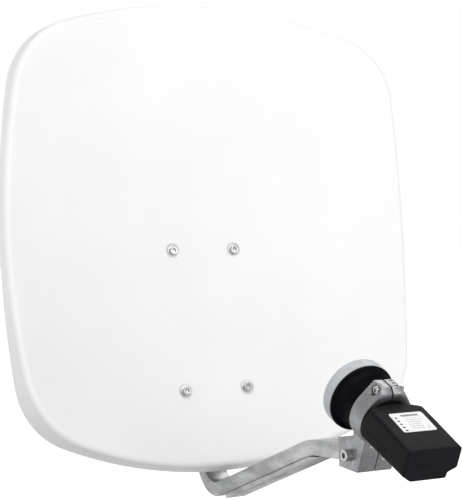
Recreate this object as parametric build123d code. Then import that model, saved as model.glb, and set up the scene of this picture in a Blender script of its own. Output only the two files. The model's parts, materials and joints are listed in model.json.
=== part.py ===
from build123d import *
import os
from math import acos, atan, atan2, cos, degrees, hypot, radians, sin, sqrt, tan

# Offset satellite dish of the 45 cm class with its feed arm, feed (LNB) and tilting mast mount.
# Units are millimetres.  Part frame: origin on the mast axis at the middle of the mast clamp,
# +Z up along the mast, the dish faces -Y and +X is the viewer's right in front of the dish.
# Dish frame: origin on the reflector at its centre, X right, Y to the back, Z up the rim.

# ---- driving dimensions ----
LEAN = 2.7                  # rim plane leans back from the mast, degrees
REFLECTOR_W = 450.0
REFLECTOR_H = 466.6
SIDE_R = 964.0              # the four sides bow outwards with these radii
TOP_R = 512.0
BOTTOM_R = 432.0
CORNER_TOP_R = 87.0
CORNER_BOTTOM_R = 90.0
FOCAL_LENGTH = 270.0
AXIS_OFFSET = 275.0         # centre of the reflector above the paraboloid's own axis
SHEET = 1.6
SKIRT_BACK = 29.4           # the skirt's rear edge lies in this plane, in front of the centre
SKIRT_FRONT = 64.0
SKIRT_FLARE = 3.6
SKIRT_DROP = 4.6
SKIRT_CORNER_TOP_R = 76.0
SKIRT_CORNER_BOTTOM_R = 78.0

SCREW_SPACING_X = 70.0      # four screws hold the reflector on its carrier
SCREW_SPACING_Z = 144.0
SCREW_Z = -88.0
DIMPLE_R = 6.5
DIMPLE_DEPTH = 1.6
SEAT_BACK = DIMPLE_DEPTH + SHEET

ARM_W = 24.0                # aluminium feed arm, hollow extrusion with a small second chamber
ARM_H = 14.0
ARM_WALL = 1.6
ARM_BEND_R = 32.4
ARM_RISE_R = 80.0
ARM_SLOPE = 17.0
LEG_LENGTH = 119.9          # straight leg behind the reflector
ARM_CURL = (-29.7, -226.5)  # centre of the lower bend, Y and Z in the dish frame
ARM_TIP_Z = -202.7
ARM_TIP_Y = -301.0
DUCT_W = 20.0
DUCT_H = 6.8
DUCT_WALL = 1.4
DUCT_FROM = 12.0            # where the second chamber starts and ends along the straight run
DUCT_TO = 205.0
DUCT_SAW = 27.0             # slant of the sawn front end
ARM_BOLT_DOWN = (16.0, 62.0)    # cross bolts below the top of the leg

FEED_AT = (0.0, -288.0, -157.0)   # middle of the horn's flange
FEED_ANGLE = 26.6           # the feed looks up by this angle at the reflector
NECK_R = 20.0               # standard 40 mm feed neck
RUNNING = 0.05              # radial clearance of the running fits
CLAMP_FROM = 23.0           # stretch of the neck that the feed clamp grips
CLAMP_TO = 40.5
CLAMP_BOLT_AT = (-291.5, -203.8)    # base bolt, Y and Z in the dish frame
BLOCK_HALF_W = 17.0
SPLIT = 0.75                # half of the gap between the two castings
LUG_HALF_W = 9.3
LUG_TOP = 29.5
RING_R = 25.0
TOP_SCREW_UP = 25.2
PIT_AT = (24.9, 29.4, 33.9) # three shallow casting pits in the top of the right lug
PIT_X = 6.4
PIT_W = 3.6
PIT_L = 2.2
PIT_DEPTH = 0.9
BODY_FROM = 41.3
BODY_TO = 109.0
BODY_HALF_W = 26.0
BODY_TOP_REAR = 18.6        # the top falls towards the end of the housing
BODY_TOP_END = 13.6
BODY_BOTTOM = -14.0
# side and bottom of the housing seen along the feed: a step at the right, a chamfer at the left
BODY_CORNERS = [
    (BODY_HALF_W, -4.6), (17.5, -8.7), (17.5, BODY_BOTTOM), (-17.0, BODY_BOTTOM), (-BODY_HALF_W, -8.0),
]
# rear end of the housing is an arch that grows into the box: half width, half height, place
BODY_REAR = [(24.8, 16.6, 41.3), (26.4, 17.4, 42.8), (33.0, 24.0, 48.0), (42.0, 31.0, 55.0), (60.0, 45.0, 66.0)]
COLLAR_R = 11.5             # the chassis enters the housing with this radius
BODY_WALL = 2.0
SEAM = 1.0                  # height of the seam between upper and lower housing
COVER_FROM = 80.0
TRAY_W = 25.0
TRAY_X = -1.5
CONNECTOR_X = (-12.0, 7.0)
CONNECTOR_UP = -5.5
F_THREAD_R = 4.76           # 3/8 inch thread
SLOT_AT = 99.0              # cable slots in the weather cover
LABEL_W = 32.2
LABEL_L = 25.8
LABEL_X = 2.1
LABEL_AT = 70.3

MAST_R = 24.0               # clamp radius at rest, for a 48 mm mast
CLAMP_H = 56.0
PIVOT_Y = -66.0
PIVOT_Z = 25.0
PIVOT_BACK = 38.0           # pivot behind the plane of the screw seats
PIVOT_UP = 55.0             # pivot above the middle of the screw pattern
LOCK_R = 46.0               # distance of the locking bolt from the pivot
TILT_DOWN = 14.0            # elevation travel, degrees
TILT_UP = 20.0
PLATE_W = 92.0              # carrier plate, its faces measured behind the screw seats
PLATE_H = 168.0
PLATE_FROM = 12.0
PLATE_TO = 16.0
CHEEK_IN = 12.6             # carrier cheeks outside the arm's leg
CHEEK_OUT = 16.6
YOKE_IN = 16.9              # yoke cheeks outside the carrier's
YOKE_OUT = 20.9
EAR_W = 104.0
EAR_H = 34.0
CLAMP_BOLT_X = 38.0
CLAMP_BOLT_LENGTH = 98.0
M8 = 4.0                    # screw radii
M6 = 3.0
M5 = 2.5
M4 = 2.0

os.makedirs("parts", exist_ok=True)


def save(shape, name):
    shape.label = name
    export_step(shape, f"parts/{name}.step")


def toward(origin, direction, side=(0, 0, 1)):
    """Location whose +Z runs along direction."""
    return Plane(origin=origin, x_dir=side, z_dir=direction).location


# ---- small hardware, made along +Z ----
def socket_screw(radius, length, head_r, head_h):
    """Cap screw: head below Z = 0, shank above it."""
    head = Pos(0, 0, -head_h / 2) * Cylinder(head_r, head_h)
    head = fillet(head.edges().sort_by(Axis.Z)[0], head_h * 0.12)
    shank = Pos(0, 0, length / 2) * Cylinder(radius, length)
    key = extrude(RegularPolygon(radius * 0.95, 6), head_h * 0.6)
    return head + shank - Pos(0, 0, -head_h) * key


def hex_bolt(radius, length, flats, head_h):
    """Hexagon bolt: head below Z = 0, shank above it."""
    head = Pos(0, 0, -head_h) * extrude(RegularPolygon(flats / 2, 6, major_radius=False), head_h)
    dome = Pos(0, 0, -head_h / 2) * Cylinder(flats * 0.545, head_h)
    dome = chamfer(dome.edges().sort_by(Axis.Z)[0], head_h * 0.2)
    return (head & dome) + Pos(0, 0, length / 2) * Cylinder(radius, length)


def hex_nut(radius, flats, height):
    nut = extrude(RegularPolygon(flats / 2, 6, major_radius=False), height)
    dome = Pos(0, 0, height / 2) * Cylinder(flats * 0.545, height)
    dome = chamfer(dome.edges().group_by(Axis.Z)[-1], height * 0.12)
    return (nut & dome) - Pos(0, 0, height / 2) * Cylinder(radius + RUNNING, height)


def washer(radius, outer_r, height):
    ring = Cylinder(outer_r, height) - Cylinder(radius + 0.3, height)
    return Pos(0, 0, height / 2) * ring


def wing_nut(radius, height, span):
    """Hub with two flat wings."""
    hub = Pos(0, 0, height / 2) * Cone(radius * 2.1, radius * 1.7, height)
    wing = Pos(span * 0.31, 0, height * 0.95) * Box(span * 0.38, 3.0, height * 1.1)
    wing = fillet(wing.edges().filter_by(Axis.Y), height * 0.35)
    both = hub + wing + Rot(0, 0, 180) * wing
    return both - Pos(0, 0, height) * Cylinder(radius + RUNNING, height * 4)


# ---- places and frames ----
def surface_depth(x, z):
    """How far the reflector's front surface stands in front of its centre point."""
    turn = atan(AXIS_OFFSET / (2 * FOCAL_LENGTH))
    c = cos(turn)
    s = sin(turn)
    start = AXIS_OFFSET ** 2 / (4 * FOCAL_LENGTH)
    across = AXIS_OFFSET + z * c
    b = -2 * s * across - 4 * FOCAL_LENGTH * c
    k = x * x + across ** 2 - 4 * FOCAL_LENGTH * (start + z * s)
    return (-b - sqrt(b * b - 4 * s * s * k)) / (2 * s * s)


upper_depth = surface_depth(SCREW_SPACING_X / 2, SCREW_Z + SCREW_SPACING_Z / 2)
lower_depth = surface_depth(SCREW_SPACING_X / 2, SCREW_Z - SCREW_SPACING_Z / 2)
carrier_tilt = degrees(atan((lower_depth - upper_depth) / SCREW_SPACING_Z))
CARRIER_IN_DISH = Pos(0, -(upper_depth + lower_depth) / 2, SCREW_Z) * Rot(-carrier_tilt, 0, 0)
pivot_in_dish = (CARRIER_IN_DISH * Pos(0, PIVOT_BACK, PIVOT_UP)).position
pivot_turned = (Rot(-LEAN, 0, 0) * Pos(*pivot_in_dish)).position
DISH = Pos(0, PIVOT_Y - pivot_turned.Y, PIVOT_Z - pivot_turned.Z) * Rot(-LEAN, 0, 0)
CARRIER = DISH * CARRIER_IN_DISH
feed_c = cos(radians(FEED_ANGLE))
feed_s = sin(radians(FEED_ANGLE))
# Feed frame: X right, Y up and out of the feed's back, Z along the feed away from the dish.
FEED_IN_DISH = Plane(origin=FEED_AT, x_dir=(1, 0, 0), z_dir=(0, -feed_c, -feed_s)).location
FEED = DISH * FEED_IN_DISH


# ---- reflector ----
def corner_arc(width, height, side_r, end_r, corner_r):
    """Tangent points and middle of the corner arc between a side arc and a top arc."""
    side_x = width / 2 - side_r
    end_y = height / 2 - end_r
    gap = hypot(side_x, end_y)
    side_reach = side_r - corner_r
    end_reach = end_r - corner_r
    along = (side_reach ** 2 - end_reach ** 2 + gap ** 2) / (2 * gap)
    across = sqrt(side_reach ** 2 - along ** 2)
    ux = -side_x / gap
    uy = end_y / gap
    cx = side_x + ux * along - uy * across
    cy = uy * along + ux * across
    low = atan2(cy, cx - side_x)
    high = atan2(cy - end_y, cx)
    mid = (low + high) / 2
    start = (side_x + side_r * cos(low), side_r * sin(low))
    middle = (cx + corner_r * cos(mid), cy + corner_r * sin(mid))
    end = (end_r * cos(high), end_y + end_r * sin(high))
    return start, middle, end


def rim_outline(grow, drop, top_corner, bottom_corner, depth):
    """Closed outline with bowed sides, grown outwards and lowered, at a depth before the centre."""
    width = REFLECTOR_W + 2 * grow
    height = REFLECTOR_H + 2 * grow
    top = corner_arc(width, height, SIDE_R, TOP_R, top_corner)
    low = corner_arc(width, height, SIDE_R, BOTTOM_R, bottom_corner)

    def at(point, flip_x, flip_y):
        return (point[0] * flip_x, point[1] * flip_y - drop)

    edges = [
        ThreePointArc(at(low[0], 1, -1), (width / 2, -drop), at(top[0], 1, 1)),
        ThreePointArc(at(top[0], 1, 1), at(top[1], 1, 1), at(top[2], 1, 1)),
        ThreePointArc(at(top[2], 1, 1), (0, height / 2 - drop), at(top[2], -1, 1)),
        ThreePointArc(at(top[2], -1, 1), at(top[1], -1, 1), at(top[0], -1, 1)),
        ThreePointArc(at(top[0], -1, 1), (-width / 2, -drop), at(low[0], -1, -1)),
        ThreePointArc(at(low[0], -1, -1), at(low[1], -1, -1), at(low[2], -1, -1)),
        ThreePointArc(at(low[2], -1, -1), (0, -height / 2 - drop), at(low[2], 1, -1)),
        ThreePointArc(at(low[2], 1, -1), at(low[1], 1, -1), at(low[0], 1, -1)),
    ]
    plane = Plane(origin=(0, -depth, 0), x_dir=(1, 0, 0), z_dir=(0, -1, 0))
    return plane * make_face(Wire(edges))


def skirt_block(inset):
    """Solid inside the skirt's outer faces, from its rear plane to past the rim's front."""
    back = rim_outline(
        SKIRT_FLARE - inset, SKIRT_DROP,
        SKIRT_CORNER_TOP_R - inset, SKIRT_CORNER_BOTTOM_R - inset, SKIRT_BACK)
    front = rim_outline(-inset, 0, CORNER_TOP_R - inset, CORNER_BOTTOM_R - inset, SKIRT_FRONT)
    return loft([back, front], ruled=True)


def paraboloid(thickness):
    """Sheet behind the parabola of this thickness, or the bowl's whole inside for zero."""
    turn = atan(AXIS_OFFSET / (2 * FOCAL_LENGTH))
    c = cos(turn)
    s = sin(turn)
    rise = AXIS_OFFSET ** 2 / (4 * FOCAL_LENGTH)
    vertex = (0, -AXIS_OFFSET * s + rise * c, -AXIS_OFFSET * c - rise * s)
    plane = Plane(origin=vertex, x_dir=(0, s, c), z_dir=(1, 0, 0))
    reach = AXIS_OFFSET * 2.1
    top = reach ** 2 / (4 * FOCAL_LENGTH)
    front = Bezier((0, 0), (reach / 2, 0), (reach, top))
    if thickness > 0:
        back = Bezier((0, -thickness), (reach / 2, -thickness), (reach, top - thickness))
        ends = [Line((reach, top), (reach, top - thickness)), Line((0, 0), (0, -thickness))]
        face = make_face([front, back] + ends)
    else:
        face = make_face([front, Line((reach, top), (0, top)), Line((0, top), (0, 0))])
    return revolve(plane * face, axis=Axis(vertex, (0, -c, s)))


def screw_places():
    for x in (-SCREW_SPACING_X / 2, SCREW_SPACING_X / 2):
        for z in (-SCREW_SPACING_Z / 2, SCREW_SPACING_Z / 2):
            yield x, z


def make_dimple():
    """Pressed seat of one screw: a shallow cup with a hole, opening to the front."""
    cup = Pos(0, 0, DIMPLE_DEPTH / 2 + 0.9) * Cylinder(DIMPLE_R + 1.5, DIMPLE_DEPTH + 1.4)
    room = Pos(0, 0, DIMPLE_DEPTH / 2 - 1) * Cylinder(DIMPLE_R, DIMPLE_DEPTH + 2)
    return cup - room - Cylinder(M5 + 0.3, 40)


def make_reflector():
    outer = skirt_block(0)
    middle = extrude(rim_outline(0, 0, CORNER_TOP_R, CORNER_BOTTOM_R, -10), SKIRT_BACK + 10)
    dish = paraboloid(SHEET) & (outer + middle)
    for x, z in screw_places():
        seat = CARRIER_IN_DISH * toward((x, 0, z), (0, 1, 0))
        dish = dish - seat * Cylinder(DIMPLE_R, 40)
        dish = dish + seat * make_dimple()
    skirt = outer - skirt_block(SHEET) - paraboloid(0)
    return DISH * (dish + skirt)


# ---- carrier behind the reflector ----
def rear_plate(points, thick_from, thick_to):
    """Plate parallel to the YZ plane between two X values, from (Y, Z) corners."""
    face = Plane.YZ * make_face(Polyline(*points, close=True))
    return Pos(thick_from, 0, 0) * extrude(face, thick_to - thick_from, dir=(1, 0, 0))


def make_slot():
    """Arc-shaped slot about the pivot with round ends."""
    outer_r = LOCK_R + M8 + 0.4
    inner_r = LOCK_R - M8 - 0.4
    low = radians(-TILT_DOWN - 0.5)
    high = radians(TILT_UP + 0.5)

    def at(radius, turn):
        return (PIVOT_BACK + radius * sin(turn), PIVOT_UP - radius * cos(turn))

    mid = (low + high) / 2
    face = make_face([
        ThreePointArc(at(outer_r, low), at(outer_r, mid), at(outer_r, high)),
        Line(at(outer_r, high), at(inner_r, high)),
        ThreePointArc(at(inner_r, high), at(inner_r, mid), at(inner_r, low)),
        Line(at(inner_r, low), at(outer_r, low)),
    ])
    slot = extrude(Plane.YZ * face, 60, both=True)
    for turn in (low, high):
        y, z = at(LOCK_R, turn)
        slot += Pos(0, y, z) * Rot(0, 90, 0) * Cylinder(M8 + 0.4, 120)
    return slot


def make_carrier():
    plate = Pos(0, (PLATE_FROM + PLATE_TO) / 2, 0) * Box(PLATE_W, PLATE_TO - PLATE_FROM, PLATE_H)
    plate = fillet(plate.edges().filter_by(Axis.Y), 10)
    low = -PLATE_H / 2
    cheek_outline = [
        (PLATE_TO - 0.5, low), (38, low), (42, low + 6), (42, -6), (63, 4), (63, 22),
        (52, 52), (48, 66), (40, 71), (30, 70), (PLATE_TO - 0.5, -low),
    ]
    body = plate
    for side in (-1, 1):
        near = CHEEK_IN if side > 0 else -CHEEK_OUT
        body += rear_plate(cheek_outline, near, near + CHEEK_OUT - CHEEK_IN)
    for z in (low + 2, -low - 2):
        body += Pos(0, PLATE_TO + 2.5, z) * Box(2 * CHEEK_OUT, 6, 4)
    for x, z in screw_places():
        seat = toward((x, 0, z), (0, 1, 0))
        body += seat * Pos(0, 0, (SEAT_BACK + PLATE_FROM) / 2) * Cylinder(9, PLATE_FROM - SEAT_BACK)
        body -= seat * Cylinder(M5 + 0.3, 60)
    body -= make_slot()
    body -= Pos(0, PIVOT_BACK, PIVOT_UP) * Rot(0, 90, 0) * Cylinder(M8 + RUNNING, 60)
    for y, z in arm_bolt_places():
        body -= Pos(0, y, z) * Rot(0, 90, 0) * Cylinder(M6 + 0.2, 60)
    return CARRIER * body


# ---- feed arm ----
def arm_line(outward):
    """Leg top, leg end and start of the run for a line beside the arm's centre line."""
    curl_y, curl_z = ARM_CURL
    leg = radians(carrier_tilt)
    run = radians(ARM_SLOPE)
    radius = ARM_BEND_R + outward
    leg_end = (curl_y + radius * cos(leg), curl_z + radius * sin(leg))
    leg_top = (leg_end[0] + LEG_LENGTH * sin(leg), leg_end[1] + LEG_LENGTH * cos(leg))
    run_start = (curl_y - radius * sin(run), curl_z - radius * cos(run))
    return leg_top, leg_end, run_start


def arm_face(half):
    """Side outline of a band of the given half height along the arm's centre line."""
    curl_y, curl_z = ARM_CURL
    run = radians(ARM_SLOPE)
    middle = (radians(carrier_tilt) + radians(-90 - ARM_SLOPE)) / 2
    edges = []
    ends = []
    for outward in (half, -half):
        leg_top, leg_end, run_start = arm_line(outward)
        bend = ARM_BEND_R + outward
        curl_mid = (curl_y + bend * cos(middle), curl_z + bend * sin(middle))
        # the run meets the level end at a corner that is rounded with an arc
        level = ARM_TIP_Z - outward
        reach = (level - run_start[1]) / sin(run)
        meet = (run_start[0] - reach * cos(run), level)
        rise = ARM_RISE_R - outward
        cut = rise * tan(run / 2)
        arc_start = (meet[0] + cut * cos(run), meet[1] - cut * sin(run))
        arc_end = (meet[0] - cut, level)
        centre = (arc_end[0], level - rise)
        arc_mid = (centre[0] + rise * sin(run / 2), centre[1] + rise * cos(run / 2))
        edges += [
            Line(leg_top, leg_end),
            ThreePointArc(leg_end, curl_mid, run_start),
            Line(run_start, arc_start),
            ThreePointArc(arc_start, arc_mid, arc_end),
            Line(arc_end, (ARM_TIP_Y, level)),
        ]
        ends.append((leg_top, (ARM_TIP_Y, level)))
    edges.append(Line(ends[0][0], ends[1][0]))
    edges.append(Line(ends[0][1], ends[1][1]))
    return Plane.YZ * make_face(edges)


def run_point(along, below):
    """Point beside the straight run: distance from its start and below its centre line."""
    start = arm_line(0)[2]
    run = radians(ARM_SLOPE)
    return (start[0] - along * cos(run) + below * sin(run), start[1] + along * sin(run) - below * cos(run))


def make_duct():
    """Second chamber under the run that shares the tube's lower wall; its front end is sawn at a slant."""
    top = ARM_H / 2
    outline = [run_point(DUCT_FROM, top), run_point(DUCT_FROM + 4, top + DUCT_H)]
    outline += [run_point(DUCT_TO, top + DUCT_H), run_point(DUCT_TO - DUCT_SAW, top)]
    duct = Pos(-DUCT_W / 2, 0, 0) * extrude(Plane.YZ * make_face(Polyline(*outline, close=True)), DUCT_W)
    floor = top + DUCT_H - DUCT_WALL
    past = 9.0
    inner = [run_point(DUCT_FROM - past, 0), run_point(DUCT_FROM - past, floor)]
    inner += [run_point(DUCT_TO + past, floor), run_point(DUCT_TO + past, 0)]
    width = DUCT_W - 2 * DUCT_WALL
    duct -= Pos(-width / 2, 0, 0) * extrude(Plane.YZ * make_face(Polyline(*inner, close=True)), width)
    return duct


def arm_bolt_places():
    """The two cross bolts through the leg, in the carrier's frame as (Y, Z)."""
    leg = CARRIER_IN_DISH.inverse() * Pos(0, *arm_line(0)[0])
    return [(leg.position.Y, leg.position.Z - down) for down in ARM_BOLT_DOWN]


def make_arm():
    solid = Pos(-ARM_W / 2, 0, 0) * extrude(arm_face(ARM_H / 2), ARM_W)
    room = ARM_W - 2 * ARM_WALL
    hollow = Pos(-room / 2, 0, 0) * extrude(arm_face(ARM_H / 2 - ARM_WALL), room)
    arm = solid - hollow + (make_duct() - solid)
    for y, z in arm_bolt_places():
        arm -= CARRIER_IN_DISH * Pos(0, y, z) * Rot(0, 90, 0) * Cylinder(M6 + 0.2, 60)
    arm -= Pos(0, *CLAMP_BOLT_AT) * Rot(0, 90, 0) * Cylinder(M6 + 0.2, 60)
    return DISH * arm


# ---- feed clamp: two castings that meet at the middle plane ----

def feed_point(along, up):
    """Point on the feed's middle plane as (Y, Z) in the dish frame."""
    y = FEED_AT[1] - along * feed_c - up * feed_s
    z = FEED_AT[2] - along * feed_s + up * feed_c
    return (y, z)


def make_clamp_half(side):
    mid = (CLAMP_FROM + CLAMP_TO) / 2
    width = CLAMP_TO - CLAMP_FROM
    ring = Pos(0, 0, mid) * Cylinder(RING_R, width)
    # the flanks run straight from the lug's top corners to touch the ring
    corner = atan2(LUG_TOP, LUG_HALF_W)
    touch = corner - acos(RING_R / hypot(LUG_HALF_W, LUG_TOP))
    flank = [(LUG_HALF_W, LUG_TOP), (RING_R * cos(touch), RING_R * sin(touch))]
    flank += [(-x, up) for x, up in reversed(flank)]
    lug = Pos(0, 0, CLAMP_FROM) * extrude(make_face(Polyline(*flank, close=True)), width)
    edge_cut = [(LUG_TOP - 4.0, CLAMP_TO), (LUG_TOP, CLAMP_TO - 4.5), (LUG_TOP + 1, CLAMP_TO)]
    lug -= Pos(-25, 0, 0) * extrude(Plane.YZ * make_face(Polyline(*edge_cut, close=True)), 50)
    foot_outline = [
        feed_point(CLAMP_FROM, -12), feed_point(CLAMP_TO, -12), feed_point(CLAMP_TO, -47.5),
        (-275.4, -214.2), (-275.4, -189.6), feed_point(CLAMP_FROM, -22.6),
    ]
    foot = Plane.YZ * make_face(Polyline(*foot_outline, close=True))
    foot = Pos(-BLOCK_HALF_W, 0, 0) * extrude(foot, 2 * BLOCK_HALF_W)
    body = FEED_IN_DISH * (ring + lug) + foot
    body -= FEED_IN_DISH * Pos(0, 0, mid) * Cylinder(NECK_R + RUNNING, 60)
    pocket_tip = ARM_TIP_Y - 0.4
    pocket = Box(ARM_W + 0.4, 60, ARM_H + 0.4)
    body -= Pos(0, pocket_tip + 30, ARM_TIP_Z) * pocket
    body -= Box(2 * SPLIT, 900, 900)
    body -= Pos(0, *CLAMP_BOLT_AT) * Rot(0, 90, 0) * Cylinder(M6 + 0.2, 60)
    screw_axis = FEED_IN_DISH * Pos(0, TOP_SCREW_UP, mid) * Rot(0, 90, 0)
    body -= screw_axis * Cylinder(M4 + 0.2, 60)
    for outward in (-1, 1):
        body -= screw_axis * Pos(0, 0, outward * (LUG_HALF_W + 10)) * Cylinder(4.6, 20)
    if side > 0:
        for along in PIT_AT:
            body -= FEED_IN_DISH * Pos(PIT_X, LUG_TOP, along) * Box(PIT_W, 2 * PIT_DEPTH, PIT_L)
    keep = Pos(side * 500, 0, 0) * Box(1000, 1000, 1000)
    return DISH * (body & keep)


# ---- feed ----
def ring_profile(points):
    """Solid of revolution about the feed axis, from (radius, along) corners."""
    face = Plane.XZ * make_face(Polyline(*points, close=True))
    return revolve(face, axis=Axis.Z)


def make_feed_cap():
    outer = ring_profile([(0, -14), (25, -13.6), (29.4, -12.4), (31, -9.5), (31, 0), (0, 0)])
    inner = ring_profile([(0, -12.5), (24.6, -12.1), (28.2, -11.1), (29.5, -8.9), (29.5, 1), (0, 1)])
    return FEED * (outer - inner)


def make_feed_horn():
    horn = ring_profile([
        (8.8, 22), (8.8, 8), (11, 8), (11, 1), (12.2, 1), (12.2, 9), (16.2, 9), (16.2, 1), (17.4, 1),
        (17.4, 7), (21.4, 7), (21.4, -2.5), (29.1, -2.5), (29.1, -1.8), (28, -1.8), (28, -0.4),
        (29.1, -0.4), (29.1, 0.3), (30.6, 0.3), (30.6, 1.6), (27.2, 4.8), (23.8, 9.2), (21.3, 14.2),
        (20, 19), (16, 19), (16, 22),
    ])
    return FEED * horn


def make_cap_seal():
    return FEED * Pos(0, 0, -1.1) * (Cylinder(29.4, 1.2) - Cylinder(28.1, 1.2))


def make_chassis():
    """Casting: the neck that the clamp grips, a tray for the board and the connector wall."""
    neck = ring_profile([
        (8.8, 22.1), (16.1, 22.1), (16.1, 19.1), (NECK_R, 19.1), (NECK_R, 41.1), (COLLAR_R, 41.1),
        (COLLAR_R, 46), (8.8, 46),
    ])
    tray = Pos(TRAY_X, -1.8, 62.5) * Box(TRAY_W, 17, 35)
    room = Pos(TRAY_X, 0.5, 62) * Box(TRAY_W - 4, 17, 28)
    wall = Pos(-2, -2.2, 78.4) * Box(31.6, 17, 3.2)
    body = neck + tray - room + wall
    for x in CONNECTOR_X:
        body -= Pos(x, CONNECTOR_UP, 78) * Cylinder(5.0, 8)
    return FEED * body


def make_board():
    return FEED * Pos(TRAY_X, 2.6, 62) * Box(TRAY_W - 4.4, 1.6, 27)


def make_probes():
    """Two receiving pins at right angles in the waveguide."""
    upright = Pos(0, 6.3, 30) * Rot(90, 0, 0) * Cylinder(0.6, 4.2)
    level = Pos(6.3, 0, 35) * Rot(0, 90, 0) * Cylinder(0.6, 4.2)
    return FEED * Compound([upright, level])


def housing_outline(top, inset):
    """Section of the housing across the feed, with rounded corners."""
    corners = BODY_CORNERS + [(-BODY_HALF_W, top), (BODY_HALF_W, top)]
    outline = fillet(make_face(Polyline(*corners, close=True)).vertices(), 2.2)
    if inset > 0:
        outline = offset(outline, -inset)
    return outline


def housing_block(inset):
    """Outside of the feed housing: a box with a falling top that starts as a low arch at its rear."""
    start = BODY_FROM + inset
    end = BODY_TO - inset
    rear = Pos(0, 0, start) * housing_outline(BODY_TOP_REAR, inset)
    front = Pos(0, 0, end) * housing_outline(BODY_TOP_END, inset)
    box = loft([rear, front], ruled=True)
    if inset == 0:
        box = chamfer(box.faces().sort_by(Axis.Z)[-1].edges(), 1.0)
    less = inset * 0.8
    arches = [Pos(0, 0, max(s + less, start)) * Ellipse(a - less, b - less) for a, b, s in BODY_REAR]
    arches.append(Pos(0, 0, end) * Ellipse(60, 45))
    return box & loft(arches, ruled=True)


def upper_part(shape, level):
    return shape & Pos(0, level + 50, 80) * Box(100, 100, 200)


def lower_part(shape, level):
    return shape & Pos(0, level - 50, 80) * Box(100, 100, 200)


def make_upper_shell():
    shell = housing_block(0) - housing_block(BODY_WALL)
    shell = upper_part(shell, SEAM)
    shell -= Pos(0, 0, 42) * Cylinder(COLLAR_R + 0.1, 12)
    return FEED * shell


def make_lower_shell():
    shell = lower_part(housing_block(0) - housing_block(BODY_WALL), SEAM - 0.2)
    shell &= Pos(0, 0, (COVER_FROM - 0.3) / 2) * Box(100, 100, COVER_FROM - 0.3)
    shell -= Pos(0, 0, 42) * Cylinder(COLLAR_R + 0.1, 12)
    for x, z in shell_screw_places():
        shell += Pos(x, -7, z) * Rot(90, 0, 0) * Cylinder(2.6, 10.4)
        shell -= Pos(x, -9, z) * Rot(90, 0, 0) * Cylinder(1.6, 20)
    return FEED * shell


def shell_screw_places():
    return [(-16.8, 53), (13.8, 53), (-16.8, 71), (13.8, 71)]


def make_shell_screws():
    screws = []
    for x, z in shell_screw_places():
        screws.append(toward((x, BODY_BOTTOM, z), (0, 1, 0), (1, 0, 0)) * socket_screw(1.5, 12, 2.6, 1.6))
    return FEED * Compound(screws)


def make_weather_cover():
    """Sliding cover of the connectors: floor with two cable slots, side walls and an end wall."""
    cover = lower_part(housing_block(0) - housing_block(BODY_WALL + 0.2), SEAM - 0.3)
    cover &= Pos(0, 0, COVER_FROM + 50) * Box(100, 100, 100)
    for x in CONNECTOR_X:
        cover -= Pos(x, BODY_BOTTOM, SLOT_AT) * Box(11, 12, 13)
    return FEED * cover


def make_f_connectors():
    connectors = []
    for x in CONNECTOR_X:
        body = Pos(x, CONNECTOR_UP, 79.0) * Cylinder(4.9, 6)
        nut = Pos(x, CONNECTOR_UP, 82) * extrude(RegularPolygon(5.6, 6, major_radius=False), 2.6)
        thread = Pos(x, CONNECTOR_UP, 90) * Cylinder(F_THREAD_R, 11)
        hole = Pos(x, CONNECTOR_UP, 95) * Cylinder(1.2, 8)
        connectors.append(body + nut + thread - hole)
    return FEED * Compound(connectors)


def make_label():
    plate = fillet(Box(LABEL_W, 0.3, LABEL_L).edges().filter_by(Axis.Y), 2)
    fall = (BODY_TOP_REAR - BODY_TOP_END) / (BODY_TO - BODY_FROM)
    up = BODY_TOP_REAR - fall * (LABEL_AT - BODY_FROM)
    return FEED * Pos(LABEL_X, up, LABEL_AT) * Rot(degrees(atan(fall)), 0, 0) * Pos(0, 0.17, 0) * plate


# ---- mast mount ----
def lock_place():
    """Locking bolt of the elevation, as (Y, Z)."""
    rest = radians(LEAN + carrier_tilt)
    return (PIVOT_Y - LOCK_R * sin(rest), PIVOT_Z - LOCK_R * cos(rest))


def make_yoke():
    """Casting that grips the mast: saddle with two ears, and two cheeks for the dish."""
    block = Pos(0, -26.5, 0) * Box(56, 15, CLAMP_H)
    ears = Pos(0, -29, 0) * Box(EAR_W, 10, EAR_H)
    ears = fillet(ears.edges().filter_by(Axis.Y), 8)
    body = block + ears
    lock_y, lock_z = lock_place()
    outline = [
        (-33, -27), (lock_y + 8, -33), (lock_y - 5, lock_z - 9), (lock_y - 9, lock_z - 2),
        (PIVOT_Y - 12, PIVOT_Z), (PIVOT_Y - 8, PIVOT_Z + 9), (PIVOT_Y + 4, PIVOT_Z + 12), (-33, 27),
    ]
    for side in (-1, 1):
        near = YOKE_IN if side > 0 else -YOKE_OUT
        body += rear_plate(outline, near, near + YOKE_OUT - YOKE_IN)
    body -= Cylinder(MAST_R, CLAMP_H + 2)
    body -= Pos(0, PIVOT_Y, PIVOT_Z) * Rot(0, 90, 0) * Cylinder(M8 + RUNNING, 60)
    body -= Pos(0, lock_y, lock_z) * Rot(0, 90, 0) * Cylinder(M8 + RUNNING, 60)
    for x in (-CLAMP_BOLT_X, CLAMP_BOLT_X):
        body -= Pos(x, -30, 0) * Rot(90, 0, 0) * Cylinder(M8 + 0.2, 40)
    return body


def make_jaw():
    block = Pos(0, 24.5, 0) * Box(48, 19, CLAMP_H)
    ears = Pos(0, 22, 0) * Box(EAR_W, 8, EAR_H)
    ears = fillet(ears.edges().filter_by(Axis.Y), 8)
    body = block + ears - Cylinder(MAST_R, CLAMP_H + 2)
    for x in (-CLAMP_BOLT_X, CLAMP_BOLT_X):
        body -= Pos(x, 22, 0) * Rot(90, 0, 0) * Cylinder(M8 + 0.4, 40)
    return body


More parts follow.
